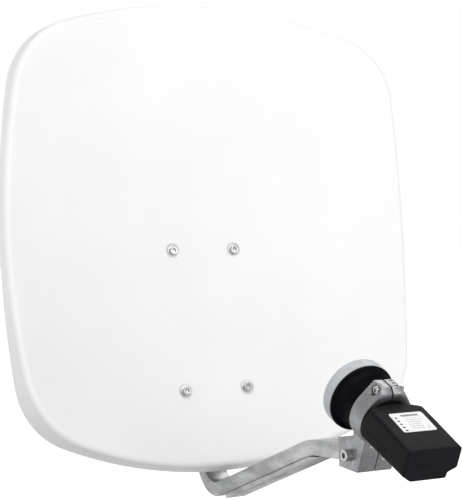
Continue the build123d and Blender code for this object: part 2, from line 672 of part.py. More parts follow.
def cross_bolt(place, radius, grip, head):
    """Bolt along X through a stack from -grip to +grip, with its washers and nut."""
    flats = radius * 3.25
    bolt = toward((-grip - 1.6, *place), (1, 0, 0)) * hex_bolt(radius, 2 * grip + 12, flats, head)
    near = toward((-grip, *place), (-1, 0, 0)) * washer(radius, radius * 2.1, 1.6)
    far = toward((grip, *place), (1, 0, 0)) * washer(radius, radius * 2.1, 1.6)
    nut = toward((grip + 1.6, *place), (1, 0, 0)) * hex_nut(radius, flats, radius * 1.65)
    return bolt, Compound([near, far]), nut


def save_mount():
    save(make_yoke(), "mast_yoke")
    save(make_jaw(), "mast_jaw")
    bolts = []
    washers = []
    nuts = []
    for x in (-CLAMP_BOLT_X, CLAMP_BOLT_X):
        bolts.append(toward((x, -34, 0), (0, 1, 0)) * hex_bolt(M8, CLAMP_BOLT_LENGTH, 13, 5.3))
        washers.append(toward((x, 26, 0), (0, 1, 0)) * washer(M8 + 0.1, 9, 1.6))
        nuts.append(toward((x, 27.6, 0), (0, 1, 0)) * wing_nut(M8 + 0.05, 8, 38))
    save(Compound(bolts), "mast_clamp_bolts")
    save(Compound(washers), "mast_clamp_washers")
    save(Compound(nuts), "wing_nuts")
    pivot = cross_bolt((PIVOT_Y, PIVOT_Z), M8, YOKE_OUT, 5.3)
    lock = cross_bolt(lock_place(), M8, YOKE_OUT, 5.3)
    for piece, name in zip(pivot, ("pivot_bolt", "pivot_washers", "pivot_nut")):
        save(piece, name)
    for piece, name in zip(lock, ("lock_bolt", "lock_washers", "lock_nut")):
        save(piece, name)


def save_reflector_group():
    save(make_reflector(), "reflector")
    save(make_carrier(), "rear_carrier")
    screws = []
    washers = []
    nuts = []
    for x, z in screw_places():
        seat = CARRIER * toward((x, 0, z), (0, 1, 0))
        screws.append(seat * Pos(0, 0, DIMPLE_DEPTH - 1.0) * socket_screw(M5, 22.5, 4.2, 4.2))
        washers.append(seat * Pos(0, 0, DIMPLE_DEPTH - 1.0) * washer(M5, 5.5, 1.0))
        nuts.append(seat * Pos(0, 0, PLATE_TO) * hex_nut(M5, 8, 4))
    save(Compound(screws), "reflector_screws")
    save(Compound(washers), "reflector_washers")
    save(Compound(nuts), "reflector_nuts")


def save_arm_group():
    save(make_arm(), "feed_arm")
    bolts = []
    nuts = []
    for place in arm_bolt_places():
        bolts.append(toward((-CHEEK_OUT, *place), (1, 0, 0)) * hex_bolt(M6, 2 * CHEEK_OUT + 8, 10, 4))
        nuts.append(toward((CHEEK_OUT, *place), (1, 0, 0)) * hex_nut(M6, 10, 5))
    save(CARRIER * Compound(bolts), "arm_bolts")
    save(CARRIER * Compound(nuts), "arm_nuts")
    save(make_clamp_half(-1), "lnb_clamp_left")
    save(make_clamp_half(1), "lnb_clamp_right")
    base = toward((-BLOCK_HALF_W, *CLAMP_BOLT_AT), (1, 0, 0))
    save(DISH * base * socket_screw(M6, 2 * BLOCK_HALF_W + 8, 5, 5.5), "clamp_base_bolt")
    far = toward((BLOCK_HALF_W, *CLAMP_BOLT_AT), (1, 0, 0))
    save(DISH * far * hex_nut(M6, 10, 5), "clamp_base_nut")
    mid = (CLAMP_FROM + CLAMP_TO) / 2
    near = toward((-LUG_HALF_W, TOP_SCREW_UP, mid), (1, 0, 0))
    save(FEED * near * socket_screw(M4, 2 * LUG_HALF_W + 6, 3.5, 3), "clamp_top_screw")
    far = toward((LUG_HALF_W, TOP_SCREW_UP, mid), (1, 0, 0))
    save(FEED * far * hex_nut(M4, 7, 3.2), "clamp_top_nut")


def save_feed_group():
    save(make_feed_cap(), "feed_cap")
    save(make_cap_seal(), "cap_seal")
    save(make_feed_horn(), "feed_horn")
    save(make_chassis(), "lnb_chassis")
    save(make_board(), "lnb_board")
    save(make_probes(), "lnb_probes")
    save(make_upper_shell(), "lnb_upper_shell")
    save(make_lower_shell(), "lnb_lower_shell")
    save(make_shell_screws(), "shell_screws")
    save(make_weather_cover(), "weather_cover")
    save(make_f_connectors(), "f_connectors")
    save(make_label(), "lnb_label")


save_reflector_group()
save_arm_group()
save_feed_group()
save_mount()
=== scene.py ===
"""Satellite dish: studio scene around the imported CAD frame."""
import json
from math import atan, atan2, cos, hypot, pi, radians, sin, sqrt, tan

import bmesh
import bpy
from mathutils import Matrix, Vector
from mathutils.geometry import delaunay_2d_cdt


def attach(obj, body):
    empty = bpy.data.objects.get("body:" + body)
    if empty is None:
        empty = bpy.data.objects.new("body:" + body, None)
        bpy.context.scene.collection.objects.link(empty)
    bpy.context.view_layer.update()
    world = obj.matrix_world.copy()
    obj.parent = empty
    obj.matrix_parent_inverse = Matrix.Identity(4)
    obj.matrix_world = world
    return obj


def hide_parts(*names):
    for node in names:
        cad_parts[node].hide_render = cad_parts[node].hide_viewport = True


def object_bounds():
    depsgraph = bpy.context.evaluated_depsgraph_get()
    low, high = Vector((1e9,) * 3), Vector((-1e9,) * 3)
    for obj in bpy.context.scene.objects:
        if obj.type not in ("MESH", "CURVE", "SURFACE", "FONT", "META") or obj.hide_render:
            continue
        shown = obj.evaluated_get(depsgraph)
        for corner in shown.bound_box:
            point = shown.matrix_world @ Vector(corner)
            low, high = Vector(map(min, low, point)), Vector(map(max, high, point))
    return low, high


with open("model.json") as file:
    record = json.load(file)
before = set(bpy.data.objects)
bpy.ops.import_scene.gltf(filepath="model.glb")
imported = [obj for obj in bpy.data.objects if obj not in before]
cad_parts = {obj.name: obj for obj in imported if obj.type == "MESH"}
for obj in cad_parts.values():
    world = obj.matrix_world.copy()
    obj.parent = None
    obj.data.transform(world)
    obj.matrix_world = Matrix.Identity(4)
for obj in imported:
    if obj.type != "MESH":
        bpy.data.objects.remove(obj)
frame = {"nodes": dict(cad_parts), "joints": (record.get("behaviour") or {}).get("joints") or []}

MM = 0.001
cad_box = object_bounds()
nodes = frame["nodes"]
joints = {joint["name"]: joint for joint in frame["joints"]}

# ---- driving dimensions, in millimetres and degrees, as in the CAD ----
LEAN = 2.7                  # how far the reflector leans back at rest
RIM_W = 450.0
RIM_H = 466.6
SIDE_R = 964.0              # the outline's long arcs: sides, top and bottom
TOP_R = 512.0
BOTTOM_R = 432.0
CORNER_TOP_R = 87.0
CORNER_BOTTOM_R = 90.0
FOCAL_LENGTH = 270.0
AXIS_OFFSET = 275.0
SHEET = 1.6
SKIRT_BACK = 29.4           # the skirt's rear edge, in front of the reflector's centre
SKIRT_FLARE = 3.6
SKIRT_DROP = 4.6
SKIRT_TOP_R = 76.0
SKIRT_BOTTOM_R = 78.0
ROLL_R = 5.5                # rolled front edge of the reflector
HEM = 3.5                   # folded rear edge of the skirt
TOP_EASE = 0.5              # lowers the rounded top edge to the height of the pressed one
SCREW_X = 35.0              # the four screws behind their pressed seats
SCREW_UP = 72.0
SCREW_Z = -88.0
SEAT_DEPTH = 1.6
SEAT_FLAT_R = 5.7
SEAT_EDGE_R = 8.0
HOLE_R = 2.8
PIVOT_BACK = 38.0           # the elevation pivot, from the middle of the screws
PIVOT_UP = 55.0
SKEW_POINT = 32.0           # the skew joint's point along the feed
CAP_R = 31.0                # drum cap over the horn, and how far it stands in front of the flange
CAP_FRONT = -14.0
FLANGE_R = 30.6             # the horn's flange, its concave bell and its neck
BELL_R = 20.0
BELL_BACK = 19.0
SEAM = 1.0                  # height of the seam between the two halves of the housing
WALL = 2.0
BODY_FROM = 41.3
BODY_TO = 109.0
COVER_FROM = 80.0
BODY_HALF_W = 26.0
BODY_TOP_REAR = 18.6        # the housing's top falls towards its end
BODY_TOP_END = 13.6
BODY_BOTTOM = -14.0
BODY_REAR = (               # arch round the rear end: half width, half height, place along the feed
    (24.8, 16.6, 41.3), (26.4, 17.4, 42.8), (33.0, 24.0, 48.0), (42.0, 31.0, 55.0), (60.0, 45.0, 66.0),
)
COLLAR_R = 11.5             # hole for the feed's neck
CONNECTORS = (-12.0, 7.0)   # the two F connectors, with a cable slot under each
SLOT_AT = 99.0
SLOT_HALF_W = 5.5
SLOT_HALF_L = 6.5
LABEL_X = 2.1               # middle of the label, and its half sizes
LABEL_AT = 70.3
LABEL_HALF_W = 16.1
LABEL_HALF_L = 12.9


# ---- places ----
def surface_depth(x, z):
    """How far the reflector's front surface stands in front of its centre."""
    turn = atan(AXIS_OFFSET / (2 * FOCAL_LENGTH))
    across = AXIS_OFFSET + z * cos(turn)
    b = -2 * sin(turn) * across - 4 * FOCAL_LENGTH * cos(turn)
    start = AXIS_OFFSET ** 2 / (4 * FOCAL_LENGTH)
    k = x * x + across ** 2 - 4 * FOCAL_LENGTH * (start + z * sin(turn))
    return (-b - sqrt(b * b - 4 * sin(turn) ** 2 * k)) / (2 * sin(turn) ** 2)


upper_depth = surface_depth(SCREW_X, SCREW_Z + SCREW_UP)
lower_depth = surface_depth(SCREW_X, SCREW_Z - SCREW_UP)
tilt = atan((lower_depth - upper_depth) / (2 * SCREW_UP))
CARRIER = Matrix.Translation((0, -(upper_depth + lower_depth) / 2, SCREW_Z)) @ Matrix.Rotation(-tilt, 4, "X")
lean_back = Matrix.Rotation(-radians(LEAN), 4, "X")
pivot = Vector(joints["elevation"]["pos_m"]) / MM
DISH = Matrix.Translation(pivot - lean_back @ (CARRIER @ Vector((0, PIVOT_BACK, PIVOT_UP)))) @ lean_back
feed_axis = Vector(joints["lnb_skew"]["axis"]).normalized()
feed_up = feed_axis.cross(Vector((1, 0, 0)))
FEED = Matrix.Translation(Vector(joints["lnb_skew"]["pos_m"]) / MM - feed_axis * SKEW_POINT)
FEED = FEED @ Matrix(((1, 0, 0), feed_up, feed_axis)).transposed().to_4x4()


# ---- mesh helpers ----
def quads(rows, cols, wrap_rows=False, wrap_cols=True, start=0):
    """Faces of a grid of corners stored row after row."""
    faces = []
    for r in range(rows if wrap_rows else rows - 1):
        for c in range(cols if wrap_cols else cols - 1):
            a = start + r * cols
            b = start + (r + 1) % rows * cols
            d = (c + 1) % cols
            faces.append((a + c, a + d, b + d, b + c))
    return faces


def rounded(corners, steps=6):
    """Closed outline from (x, y, radius) corners, each rounded with an arc."""
    outline = []
    for i, (x, y, radius) in enumerate(corners):
        here = Vector((x, y))
        if radius == 0:
            outline.append((x, y))
            continue
        back = (Vector(corners[i - 1][:2]) - here).normalized()
        ahead = (Vector(corners[(i + 1) % len(corners)][:2]) - here).normalized()
        half = back.angle(ahead) / 2
        centre = here + (back + ahead).normalized() * (radius / sin(half))
        spoke = here + back * (radius / tan(half)) - centre
        sweep = (pi - 2 * half) * (-1 if back.cross(ahead) > 0 else 1)
        for k in range(steps + 1):
            point = centre + Matrix.Rotation(sweep * k / steps, 2) @ spoke
            outline.append((point.x, point.y))
    return outline


def piece(name, verts, faces, where, body, paint, stands_for=(), sharp=32):
    """One closed mesh from corners in millimetres in the given frame, riding on a body."""
    mesh = bpy.data.meshes.new(name)
    mesh.from_pydata([where @ Vector(v) * MM for v in verts], [], faces)
    bm = bmesh.new()
    bm.from_mesh(mesh)
    bmesh.ops.remove_doubles(bm, verts=bm.verts, dist=2e-6)
    bmesh.ops.recalc_face_normals(bm, faces=bm.faces)
    bm.to_mesh(mesh)
    bm.free()
    mesh.shade_smooth()
    mesh.set_sharp_from_angle(angle=radians(sharp))
    mesh.materials.append(paint)
    obj = bpy.data.objects.new(name, mesh)
    bpy.context.collection.objects.link(obj)
    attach(obj, body)
    if stands_for:
        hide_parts(*stands_for)
    return obj


def lathe(profile, segments=128):
    """Closed ring or disc about the Z axis from a closed (radius, along) outline."""
    turns = [2 * pi * k / segments for k in range(segments)]
    verts = [(r * cos(t), r * sin(t), s) for r, s in profile for t in turns]
    return verts, quads(len(profile), segments, wrap_rows=True)


# ---- material helpers ----
def new_paint(name, color, rough, metal=0.0, specular=0.5):
    mat = bpy.data.materials.new(name)
    mat.use_nodes = True
    shader = mat.node_tree.nodes["Principled BSDF"]
    shader.inputs["Base Color"].default_value = (*color, 1)
    shader.inputs["Roughness"].default_value = rough
    shader.inputs["Metallic"].default_value = metal
    shader.inputs["Specular IOR Level"].default_value = specular
    return mat, mat.node_tree, shader


def grain(tree, scale, detail=3.0, stretch=(1, 1, 1), rough=0.55):
    """Noise in object space; scale is in features per metre."""
    coord = tree.nodes.new("ShaderNodeTexCoord")
    mapping = tree.nodes.new("ShaderNodeMapping")
    mapping.inputs["Scale"].default_value = stretch
    noise = tree.nodes.new("ShaderNodeTexNoise")
    noise.inputs["Scale"].default_value = scale
    noise.inputs["Detail"].default_value = detail
    noise.inputs["Roughness"].default_value = rough
    tree.links.new(coord.outputs["Object"], mapping.inputs["Vector"])
    tree.links.new(mapping.outputs["Vector"], noise.inputs["Vector"])
    return noise.outputs["Fac"]


def spread(tree, value, low, high, start=0.3, end=0.7):
    """Maps a texture value from start..end to low..high."""
    node = tree.nodes.new("ShaderNodeMapRange")
    node.inputs["From Min"].default_value = start
    node.inputs["From Max"].default_value = end
    node.inputs["To Min"].default_value = low
    node.inputs["To Max"].default_value = high
    tree.links.new(value, node.inputs["Value"])
    return node.outputs["Result"]


def mix_color(tree, value, first, second):
    """Blends two colours, each given as a tuple or as a node's output."""
    node = tree.nodes.new("ShaderNodeMix")
    node.data_type = "RGBA"
    for socket, color in (("A", first), ("B", second)):
        plugs = [i for i in node.inputs if i.name == socket and i.type == "RGBA"]
        if isinstance(color, tuple):
            plugs[0].default_value = (*color, 1)
        else:
            tree.links.new(color, plugs[0])
    tree.links.new(value, node.inputs[0])
    return [o for o in node.outputs if o.type == "RGBA"][0]


def bump(tree, shader, value, strength, distance, under=None):
    node = tree.nodes.new("ShaderNodeBump")
    node.inputs["Strength"].default_value = strength
    node.inputs["Distance"].default_value = distance
    tree.links.new(value, node.inputs["Height"])
    if under is not None:
        tree.links.new(under, node.inputs["Normal"])
    tree.links.new(node.outputs["Normal"], shader.inputs["Normal"])
    return node.outputs["Normal"]


# ---- materials ----
def powder_coat():
    """White baked coating with a faint orange-peel surface."""
    mat, tree, shader = new_paint("powder_coat_white", (0.86, 0.86, 0.86), 0.42)
    broad = grain(tree, 9, 2)
    tone = mix_color(tree, spread(tree, broad, 0, 1), (0.845, 0.848, 0.85), (0.875, 0.875, 0.872))
    tree.links.new(tone, shader.inputs["Base Color"])
    tree.links.new(spread(tree, grain(tree, 60, 4), 0.36, 0.5), shader.inputs["Roughness"])
    peel = bump(tree, shader, grain(tree, 700, 2), 0.12, 0.00012)
    bump(tree, shader, grain(tree, 2600, 1), 0.06, 0.00005, peel)
    return mat


def cast_alloy(name, dark, light, rough=0.46):
    """Tumbled die casting: fine speckle, a little cloudiness and small pits."""
    mat, tree, shader = new_paint(name, light, rough, 0.94)
    speckle = grain(tree, 900, 4, rough=0.75)
    tone = mix_color(tree, spread(tree, speckle, 0, 1, 0.25, 0.75), dark, light)
    cloudy = spread(tree, grain(tree, 70, 4, rough=0.7), 0.8, 1.08)
    dull = tree.nodes.new("ShaderNodeHueSaturation")
    tree.links.new(cloudy, dull.inputs["Value"])
    tree.links.new(tone, dull.inputs["Color"])
    tree.links.new(dull.outputs["Color"], shader.inputs["Base Color"])
    tree.links.new(spread(tree, grain(tree, 260, 4), rough - 0.08, rough + 0.1), shader.inputs["Roughness"])
    coarse = bump(tree, shader, grain(tree, 1100, 4, rough=0.7), 0.4, 0.00016)
    pits = spread(tree, grain(tree, 1500, 2), 0, 1, 0.62, 0.7)
    bump(tree, shader, pits, -0.35, 0.00015, coarse)
    return mat


def drawn_alloy():
    """Mill-finish tube: fine drawing lines along the arm, dull handling patches and a few dark streaks."""
    mat, tree, shader = new_paint("mill_finish_aluminium", (0.5, 0.505, 0.51), 0.34, 0.92)
    patches = grain(tree, 42, 5, (1, 0.4, 1), 0.65)
    tone = mix_color(tree, spread(tree, patches, 0, 1, 0.35, 0.65), (0.30, 0.305, 0.31), (0.56, 0.565, 0.57))
    streaks = spread(tree, grain(tree, 420, 3, (1, 0.03, 0.2)), 0, 0.45, 0.5, 0.72)
    tone = mix_color(tree, streaks, tone, (0.2, 0.2, 0.205))
    tree.links.new(tone, shader.inputs["Base Color"])
    tree.links.new(spread(tree, patches, 0.44, 0.27), shader.inputs["Roughness"])
    drawn = bump(tree, shader, grain(tree, 1500, 2, (1, 0.02, 0.06)), 0.2, 0.00006)
    bump(tree, shader, grain(tree, 240, 3), 0.22, 0.00014, drawn)
    return mat


def zinc(name, color, rough, flake=260):
    """Plated or plain metal with a faint cell pattern; flake is in cells per metre."""
    mat, tree, shader = new_paint(name, color, rough, 0.95)
    coord = tree.nodes.new("ShaderNodeTexCoord")
    cells = tree.nodes.new("ShaderNodeTexVoronoi")
    cells.inputs["Scale"].default_value = flake
    tree.links.new(coord.outputs["Object"], cells.inputs["Vector"])
    dark = tuple(c * 0.8 for c in color)
    tone = mix_color(tree, spread(tree, cells.outputs["Distance"], 0, 1, 0.1, 0.8), color, dark)
    tree.links.new(tone, shader.inputs["Base Color"])
    tree.links.new(spread(tree, grain(tree, 400, 4), rough - 0.07, rough + 0.12), shader.inputs["Roughness"])
    bump(tree, shader, grain(tree, 1800, 3), 0.15, 0.00006)
    return mat


def moulded(name, color, rough, texture=2200, strength=0.3, specular=0.5):
    """Moulded plastic with an etched grain and slightly uneven gloss."""
    mat, tree, shader = new_paint(name, color, rough, 0, specular)
    light = tuple(min(1.0, c * 1.25 + 0.001) for c in color)
    tone = mix_color(tree, spread(tree, grain(tree, 120, 4), 0, 1), color, light)
    tree.links.new(tone, shader.inputs["Base Color"])
    tree.links.new(spread(tree, grain(tree, 180, 4), rough - 0.06, rough + 0.08), shader.inputs["Roughness"])
    bump(tree, shader, grain(tree, texture, 2), strength, 0.00006)
    return mat


def label_film():
    """White film with a dark bar, a row of dots and plain grey bars, in the label's own UV square."""
    mat, tree, shader = new_paint("label_film", (0.86, 0.86, 0.86), 0.3)
    uv = tree.nodes.new("ShaderNodeUVMap")
    split = tree.nodes.new("ShaderNodeSeparateXYZ")
    tree.links.new(uv.outputs["UV"], split.inputs["Vector"])

    def math(kind, a, b):
        node = tree.nodes.new("ShaderNodeMath")
        node.operation = kind
        for plug, value in zip(node.inputs, (a, b)):
            if isinstance(value, (int, float)):
                plug.default_value = value
            else:
                tree.links.new(value, plug)
        return node.outputs[0]

    def band(value, low, high):
        return math("MULTIPLY", math("GREATER_THAN", value, low), math("LESS_THAN", value, high))

    across = split.outputs["X"]
    along = split.outputs["Y"]
    stripe = math("FRACT", math("MULTIPLY", along, 9.0), 0.0)
    bars = math("MULTIPLY", math("MULTIPLY", band(stripe, 0.3, 0.62), band(across, 0.34, 0.9)),
                band(along, 0.12, 0.72))
    ragged = math("LESS_THAN", across, spread(tree, grain(tree, 240, 0), 0.6, 0.95))
    bars = math("MULTIPLY", bars, ragged)
    title = math("MULTIPLY", band(along, 0.8, 0.9), band(across, 0.3, 0.82))
    step = math("FRACT", math("MULTIPLY", along, 6.0), 0.0)
    dx = math("MULTIPLY", math("SUBTRACT", across, 0.12), 6.0)
    dy = math("SUBTRACT", step, 0.5)
    reach = math("ADD", math("MULTIPLY", dx, dx), math("MULTIPLY", dy, dy))
    dots = math("MULTIPLY", math("LESS_THAN", reach, 0.06), band(along, 0.02, 0.82))
    grey = mix_color(tree, math("MULTIPLY", bars, 0.55), (0.86, 0.86, 0.86), (0.2, 0.2, 0.22))
    dark = mix_color(tree, math("MAXIMUM", math("MULTIPLY", title, 0.75), dots), grey, (0.02, 0.02, 0.025))
    tree.links.new(dark, shader.inputs["Base Color"])
    tree.links.new(spread(tree, grain(tree, 300, 2), 0.24, 0.36), shader.inputs["Roughness"])
    return mat


white_coat = powder_coat()
cast = cast_alloy("die_cast_alloy", (0.24, 0.245, 0.255), (0.43, 0.435, 0.445), 0.33)
mill = drawn_alloy()
galvanised = zinc("hot_dip_zinc", (0.56, 0.58, 0.60), 0.42, 90)
bright_zinc = zinc("bright_zinc", (0.66, 0.665, 0.66), 0.26, 500)
stainless = zinc("plain_stainless", (0.60, 0.60, 0.60), 0.24, 900)
black = moulded("housing_black", (0.009, 0.0094, 0.0108), 0.4, specular=0.045)
cap_grey = moulded("cap_grey", (0.47, 0.49, 0.515), 0.38, 1200, 0.12, 0.35)
horn_black = moulded("horn_black", (0.0028, 0.003, 0.0042), 0.32, 1500, 0.2, 0.04)
neck_black = moulded("neck_black", (0.004, 0.0043, 0.005), 0.34, 900, 0.2, 0.04)
rubber = moulded("soft_rubber", (0.012, 0.012, 0.012), 0.7, specular=0.2)
board_green = moulded("solder_mask", (0.02, 0.12, 0.05), 0.25, 400, 0.1)
brass = zinc("gilt_brass", (0.72, 0.52, 0.20), 0.22, 900)
nickel = zinc("bright_nickel", (0.70, 0.68, 0.63), 0.16, 1200)
film = label_film()


# ---- reflector ----
def quarter(half_w, half_h, end_r, corner_r):
    """Points and normals of a quarter of the outline, from the side's middle to the end's middle."""
    side_x = half_w - SIDE_R
    end_y = half_h - end_r
    gap = hypot(side_x, end_y)
    along = ((SIDE_R - corner_r) ** 2 - (end_r - corner_r) ** 2 + gap ** 2) / (2 * gap)
    across = sqrt((SIDE_R - corner_r) ** 2 - along ** 2)
    cx = side_x - side_x / gap * along - end_y / gap * across
    cy = end_y / gap * along - side_x / gap * across
    low = atan2(cy, cx - side_x)
    high = atan2(cy - end_y, cx)
    arcs = ((side_x, 0, SIDE_R, 0, low), (cx, cy, corner_r, low, high), (0, end_y, end_r, high, pi / 2))
    steps = 18
    points = [
        ((x + r * cos(a + (b - a) * k / steps), y + r * sin(a + (b - a) * k / steps)),
         (cos(a + (b - a) * k / steps), sin(a + (b - a) * k / steps)))
        for x, y, r, a, b in arcs for k in range(steps)
    ]
    return points + [((0, half_h), (0, 1))]


def outline(grow, drop, top_r, bottom_r):
    """Whole outline, anticlockwise from the right, as (point, normal) pairs."""
    top = quarter(RIM_W / 2 + grow, RIM_H / 2 + grow, TOP_R, top_r)
    low = quarter(RIM_W / 2 + grow, RIM_H / 2 + grow, BOTTOM_R, bottom_r)
    runs = ((top[:-1], 1, 1), (top[:0:-1], -1, 1), (low[:-1], -1, -1), (low[:0:-1], 1, -1))
    return [(Vector((p[0] * fx, p[1] * fy - drop)), Vector((n[0] * fx, n[1] * fy)))
            for run, fx, fy in runs for p, n in run]


def smooth(value, low, high):
    """Eases from 0 at low to 1 at high."""
    k = min(1, max(0, (value - low) / (high - low)))
    return k * k * (3 - 2 * k)


seat_axis = CARRIER.to_3x3() @ Vector((0, 1, 0))
seats = [CARRIER @ Vector((x, 0, z)) for x in (-SCREW_X, SCREW_X) for z in (-SCREW_UP, SCREW_UP)]


def face_point(x, z):
    """Front surface with its pressed screw seats, in the dish frame."""
    y = -surface_depth(x, z)
    for seat in seats:
        away = hypot(x - seat.x, z - seat.z)
        if away < SEAT_EDGE_R:
            floor = seat + seat_axis * SEAT_DEPTH
            flat = floor.y - (seat_axis.x * (x - floor.x) + seat_axis.z * (z - floor.z)) / seat_axis.y
            y += (flat - y) * (1 - smooth(away, SEAT_FLAT_R, SEAT_EDGE_R))
    return Vector((x, y, z))


def face_normal(x, z):
    """Unit normal towards the back of the sheet."""
    step = 0.4
    right = face_point(x + step, z) - face_point(x - step, z)
    up = face_point(x, z + step) - face_point(x, z - step)
    return up.cross(right).normalized()


def rim_section(point, normal, rear):
    """Rolled edge, skirt and hem at one place of the outline: outside points, then inside points."""
    apex = face_point(*point)
    inner = face_point(*(point - normal * 2))
    a = (inner - apex).normalized()
    b = rear - apex
    length = b.length
    b.normalize()
    half = a.angle(b) / 2
    roll = min(ROLL_R, 0.55 * length * tan(half))
    reach = roll / tan(half)
    start = point + (Vector((a.x, a.z)) * reach)
    first = face_point(*start)
    last = apex + b * reach
    centre = apex + (a + b).normalized() * (roll / sin(half))
    outward = (b * a.dot(b) - a).normalized()
    hem = min(HEM, 0.25 * length)
    outside = [first]
    steps = 8
    axis = (first - centre).cross(last - centre).normalized()
    for k in range(1, steps):
        turn = Matrix.Rotation((pi - 2 * half) * k / steps, 3, axis)
        outside.append(centre + turn @ (first - centre))
    outside.append(last)
    groove = min(0.55, hem * 0.16)
    span = length - hem - reach
    for k in (0.33, 0.66):
        outside.append(last + b * span * k)
    for along, out in ((-groove, 0), (-groove * 0.3, -groove), (groove * 0.3, -groove), (groove, 0)):
        outside.append(apex + b * (length - hem + along) + outward * out)
    outside.append(apex + b * (length - 0.5 * hem))
    for along, out in ((0.35, 0), (0.08, -0.12), (0, -0.45)):
        outside.append(apex + b * (length - along) + outward * out)
    back_first = first + face_normal(*start) * SHEET
    inside = [apex + b * length - outward * SHEET, apex + b * (length - 0.5 * hem) - outward * SHEET]
    back_last = last - outward * SHEET
    inside.append((inside[-1] + back_last) / 2)
    inside.append(back_last)
    for k in range(steps - 1, 0, -1):
        if roll > SHEET + 0.4:
            inside.append(centre + (outside[k] - centre) * ((roll - SHEET) / roll))
        else:
            inside.append(back_last.lerp(back_first, 1 - k / steps))
    inside.append(back_first)
    return outside + inside


def seat_distance(spot):
    """How far a place of the reflector's plan is from the nearest screw."""
    return min((spot - Vector((seat.x, seat.z))).length for seat in seats)


def make_reflector():
    """Front and back of the sheet as one triangulated plan with the screw holes, plus the rolled edge."""
    rim = outline(0.0, 0, CORNER_TOP_R, CORNER_BOTTOM_R)
    rear = outline(SKIRT_FLARE, SKIRT_DROP, SKIRT_TOP_R, SKIRT_BOTTOM_R)
    sections = [rim_section(p, n, Vector((q.x, -SKIRT_BACK, q.y))) for (p, n), (q, _) in zip(rim, rear)]
    around = len(sections)
    flat = [Vector((s[0].x, s[0].z)) for s in sections]
    edges = [(k, (k + 1) % around) for k in range(around)]
    rings = 26
    seat_clear = 14
    for ring in range(1, rings):
        scale = 1 - ring / rings
        every = 1 if scale > 0.5 else (2 if scale > 0.25 else 4)
        for k in range(0, around, every):
            spot = flat[k] * scale
            if seat_distance(spot) > seat_clear:
                flat.append(spot)
    flat.append(Vector((0, 0)))
    for seat in seats:
        spokes = 56
        for radius in (HOLE_R, 4.2, SEAT_FLAT_R, 6.2, 6.7, 7.2, 7.7, SEAT_EDGE_R, 9.5, 11.5, 13.5):
            first = len(flat)
            for k in range(spokes):
                turn = 2 * pi * k / spokes
                flat.append(Vector((seat.x + radius * cos(turn), seat.z + radius * sin(turn))))
            if radius == HOLE_R:
                edges += [(first + k, first + (k + 1) % spokes) for k in range(spokes)]
    spots, _, tris, _, _, _ = delaunay_2d_cdt(flat, edges, [], 0, 1e-5)
    kept = []
    hole_edges = {}
    for tri in tris:
        middle = sum((spots[i] for i in tri), Vector((0, 0))) / len(tri)
        if seat_distance(middle) > HOLE_R * 0.99:
            kept.append(tuple(tri))
    front = [face_point(*spot) for spot in spots]
    back = [p + face_normal(*spot) * SHEET for p, spot in zip(front, spots)]
    count = len(spots)
    faces = kept + [tuple(i + count for i in reversed(tri)) for tri in kept]
    for tri in kept:
        for k in range(3):
            pair = (tri[k], tri[(k + 1) % 3])
            if all(seat_distance(spots[i]) < HOLE_R * 1.01 for i in pair):
                hole_edges[pair] = hole_edges.get((pair[1], pair[0]), 0) + 1
    for a, b in hole_edges:
        if (b, a) not in hole_edges:
            faces.append((b, a, a + count, b + count))
    rows = list(zip(*sections))
    faces += quads(len(rows), around, start=2 * count)
    verts = front + back + [v for row in rows for v in row]
    ease_from = 180
    verts = [Vector((v.x, v.y, v.z - TOP_EASE * smooth(v.z, ease_from, RIM_H / 2))) for v in verts]
    piece("reflector_sheet", verts, faces, DISH, "dish", white_coat, ["reflector"], 40)


make_reflector()


# ---- feed cap and horn ----
def make_cap():
    """Slightly domed drum, open towards the horn."""
    corners = [(0, CAP_FRONT, 0), (26, CAP_FRONT + 0.4, 12), (CAP_R, CAP_FRONT + 2, 3.2), (CAP_R, 0, 0.6)]
    outside = [p for p in rounded(corners, 8)[:-1] if p[0] > 0.01]
    inside = [(CAP_R - 0.6, 0), (CAP_R - 1.5, 0), (CAP_R - 1.5, -8.9), (28.2, -11), (24.6, -12), (0, -12.4)]
    verts, faces = lathe([(0, CAP_FRONT)] + outside + inside)
    piece("feed_cap_drum", verts, faces, FEED, "lnb", cap_grey, ["feed_cap"])


def make_horn():
    """Flange, concave bell and neck outside; stepped throat, choke grooves and cap spigot inside."""
    flange = [(FLANGE_R - 0.4, 0.3), (FLANGE_R, 0.6), (FLANGE_R, 1.3), (FLANGE_R - 0.4, 1.7)]
    turns = [pi / 2 * k / 14 for k in range(15)]
    bell = [(BELL_R + 9.6 * (1 - sin(turn)), BELL_BACK - 16.6 * cos(turn)) for turn in turns]
    neck = [(16, BELL_BACK), (16, 22), (8.8, 22), (8.8, 8), (11, 8), (11, 1)]
    grooves = [(12.2, 1), (12.2, 9), (16.2, 9), (16.2, 1), (17.4, 1), (17.4, 7), (21.4, 7)]
    spigot = [(21.4, -2.5), (29.1, -2.5), (29.1, 0.3)]
    verts, faces = lathe(flange + bell + neck + grooves + spigot)
    piece("feed_horn_bell", verts, faces, FEED, "lnb", horn_black, ["feed_horn"])


make_cap()
make_horn()


